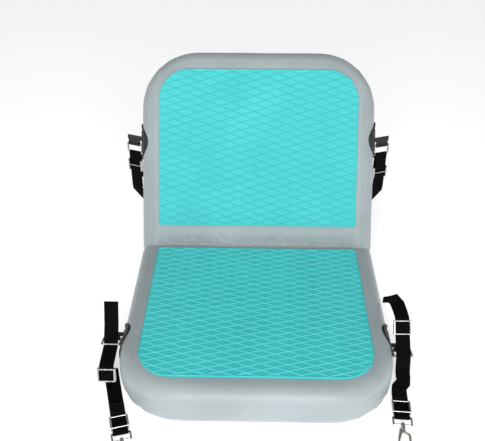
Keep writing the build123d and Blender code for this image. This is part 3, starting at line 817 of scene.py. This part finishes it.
for side in ("left", "right"):
    body = f"front_{side}_strap"
    stations, step_mark, pivot = front_strap(side)
    strap = make_ribbon(f"front_{side}_webbing", stations)
    dress(strap, web_mat)
    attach(strap, body)
    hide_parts(f"front_{side}_strap")
    spin = Matrix.Rotation(math.radians(YAW[side]), 3, "Z")
    centre = Vector((pivot[0], pivot[1], 0))
    sewn = spin @ (step_mark + Vector((0, FRONT_BOX_AHEAD, WEB_T / 2)) - centre) + centre
    along, across = spin @ Vector((0, 1, 0)), spin @ Vector((1, 0, 0))
    if side == "right":
        sewn, along, across = sewn * MIRROR, along * MIRROR, across * MIRROR * -1
    stitched_box(f"front_{side}_stitching", sewn, along, -across, FRONT_BOX, body)

REAR_YAW, HOOK_YAW = math.radians(20), math.radians(60)
REAR_IN = 17 * MM
REAR_END_DROP, REAR_UPPER_DROP, REAR_EYE_DROP = 58 * MM, 84 * MM, 152 * MM      # below the ring's bar
EYE_FRONT_RISE, EYE_REAR_RISE = 30 * MM, 26 * MM


def rear_strap(side):
    """Folded over the ring's bar, hanging behind the back, and round the hook's eye below."""
    bar = place_of(f"rear_{side}_strap_swing")
    x, y = -abs(bar.x), bar.y
    top = bar.z + WRAP
    points = [(y + WRAP, bar.z - REAR_END_DROP), (y + WRAP, top), (y - WRAP, top),
              (y - WRAP, bar.z - REAR_UPPER_DROP)]
    upper = turned(flat_stations(rounded(points, [WRAP - EYE_SLACK] * 2), x), (x, y), -REAR_YAW)
    eye_z = bar.z - REAR_EYE_DROP
    low_x = x + REAR_IN
    low = [(y - EYE_WRAP, eye_z + EYE_FRONT_RISE), (y - EYE_WRAP, eye_z - EYE_WRAP),
           (y + EYE_WRAP, eye_z - EYE_WRAP), (y + EYE_WRAP, eye_z + EYE_REAR_RISE)]
    lower = turned(flat_stations(rounded(low, [EYE_WRAP - EYE_SLACK] * 2), low_x), (low_x, y), -HOOK_YAW)
    return mirrored(upper + lower, side)


for side in ("left", "right"):
    body = f"rear_{side}_strap"
    strap = make_ribbon(f"rear_{side}_webbing", rear_strap(side))
    dress(strap, web_mat)
    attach(strap, body)
    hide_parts(f"rear_{side}_strap")

# ---------------------------------------------------------------- valve spring
SPRING_LENGTH, SPRING_R, SPRING_WIRE, SPRING_TURNS = 9.0 * MM, 3.2 * MM, 0.4 * MM, 5.5
COIL_STEPS, WIRE_SIDES = 20, 8        # steps in a turn of the coil, sides of its wire


def make_spring(name, centre, axis):
    """Coil of round wire about the valve's axis."""
    side = Vector((1, 0, 0))
    up = axis.cross(side)
    steps = round(SPRING_TURNS * COIL_STEPS)
    reach = SPRING_LENGTH / 2 - SPRING_WIRE
    points, faces = [], []
    for i in range(steps + 1):
        turn = 2 * math.pi * SPRING_TURNS * i / steps
        out = side * math.cos(turn) + up * math.sin(turn)
        middle = centre + out * SPRING_R + axis * reach * (2 * i / steps - 1)
        for k in range(WIRE_SIDES):
            a = 2 * math.pi * k / WIRE_SIDES
            points.append(middle + (out * math.cos(a) + axis * math.sin(a)) * SPRING_WIRE)
    for i in range(steps):
        for k in range(WIRE_SIDES):
            n = (k + 1) % WIRE_SIDES
            here, there = i * WIRE_SIDES, (i + 1) * WIRE_SIDES
            faces.append((here + k, here + n, there + n, there + k))
    faces.append(tuple(range(WIRE_SIDES - 1, -1, -1)))
    faces.append(tuple(range(steps * WIRE_SIDES, (steps + 1) * WIRE_SIDES)))
    return make_mesh(name, points, faces)


spring_low, spring_high = (Vector(v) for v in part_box("valve_spring"))
spring_centre = (spring_low + spring_high) / 2
spring_axis = Vector((0, -math.sin(TURN), math.cos(TURN)))
spring = make_spring("valve_coil", spring_centre, spring_axis)
dress(spring, steel_mat)
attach(spring, "backrest")
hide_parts("valve_spring")
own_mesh(spring)

# ---------------------------------------------------------------- carried-over CAD parts
tab_mat = patch_material()
for name, piece in frame["nodes"].items():
    if name.endswith("anchor_patch"):
        dress(piece, patch_mat)
    elif name.endswith("anchor_tab"):
        dress(piece, tab_mat)
    elif any(word in name for word in ("ring", "slider", "hook")) and not name.startswith("valve"):
        dress(piece, steel_mat)
    elif name == "valve_seal":
        dress(piece, rubber_mat)
    elif name.startswith("valve"):
        dress(piece, valve_mat)
    elif name.endswith("drop_yarns"):
        dress(piece, yarn_mat)

# ---------------------------------------------------------------- floor, light and camera
bpy.ops.mesh.primitive_plane_add(size=40, location=(0, 2, -0.0005))
floor = bpy.context.object
floor.name = "floor"
floor_mat, floor_tree, floor_shader = new_material("pale_floor", 0.9, 0.1)
floor_tone = ramp(floor_tree, noise_node(floor_tree, 2.0).outputs["Fac"],
                  [(0.0, (0.93, 0.93, 0.93)), (1.0, (0.95, 0.95, 0.95))])
floor_tree.links.new(floor_tone.outputs["Color"], floor_shader.inputs["Base Color"])
floor_tree.links.new(floor_tone.outputs["Color"], floor_shader.inputs["Emission Color"])
floor_shader.inputs["Emission Strength"].default_value = 0.56
dress(floor, floor_mat)

world = bpy.data.worlds.new("studio")
bpy.context.scene.world = world
world.use_nodes = True
world.node_tree.nodes["Background"].inputs["Color"].default_value = (1.0, 1.0, 1.0, 1.0)
world.node_tree.nodes["Background"].inputs["Strength"].default_value = 0.30


def area_light(name, place, target, size, power):
    """Square lamp at a place, facing a target."""
    data = bpy.data.lights.new(name, "AREA")
    data.shape = "SQUARE"
    data.size = size
    data.energy = power
    lamp = bpy.data.objects.new(name, data)
    lamp.location = place
    lamp.rotation_euler = (Vector(target) - Vector(place)).to_track_quat("-Z", "Y").to_euler()
    bpy.context.scene.collection.objects.link(lamp)


area_light("front_low", (0.1, -2.2, 1.1), (0, 0, 0.15), 1.4, 44)
area_light("top", (-0.4, -0.6, 2.4), (0, 0.1, 0.1), 1.4, 9)

CAMERA_PLACE = (-0.0037, -0.97485, 0.93288)
CAMERA_DOWN = math.radians(34.02)
CAMERA_YAW = math.radians(-1.217)
FOCAL_PIXELS = 721.75
IMAGE_WIDTH = 485
SENSOR = 36.0
camera_data = bpy.data.cameras.new("camera")
camera_data.sensor_width = SENSOR
camera_data.lens = FOCAL_PIXELS / IMAGE_WIDTH * SENSOR
camera = bpy.data.objects.new("camera", camera_data)
camera.location = CAMERA_PLACE
camera.rotation_euler = (math.pi / 2 - CAMERA_DOWN, 0.0, -CAMERA_YAW)
bpy.context.scene.collection.objects.link(camera)
bpy.context.scene.camera = camera
bpy.context.scene.view_settings.view_transform = "Standard"
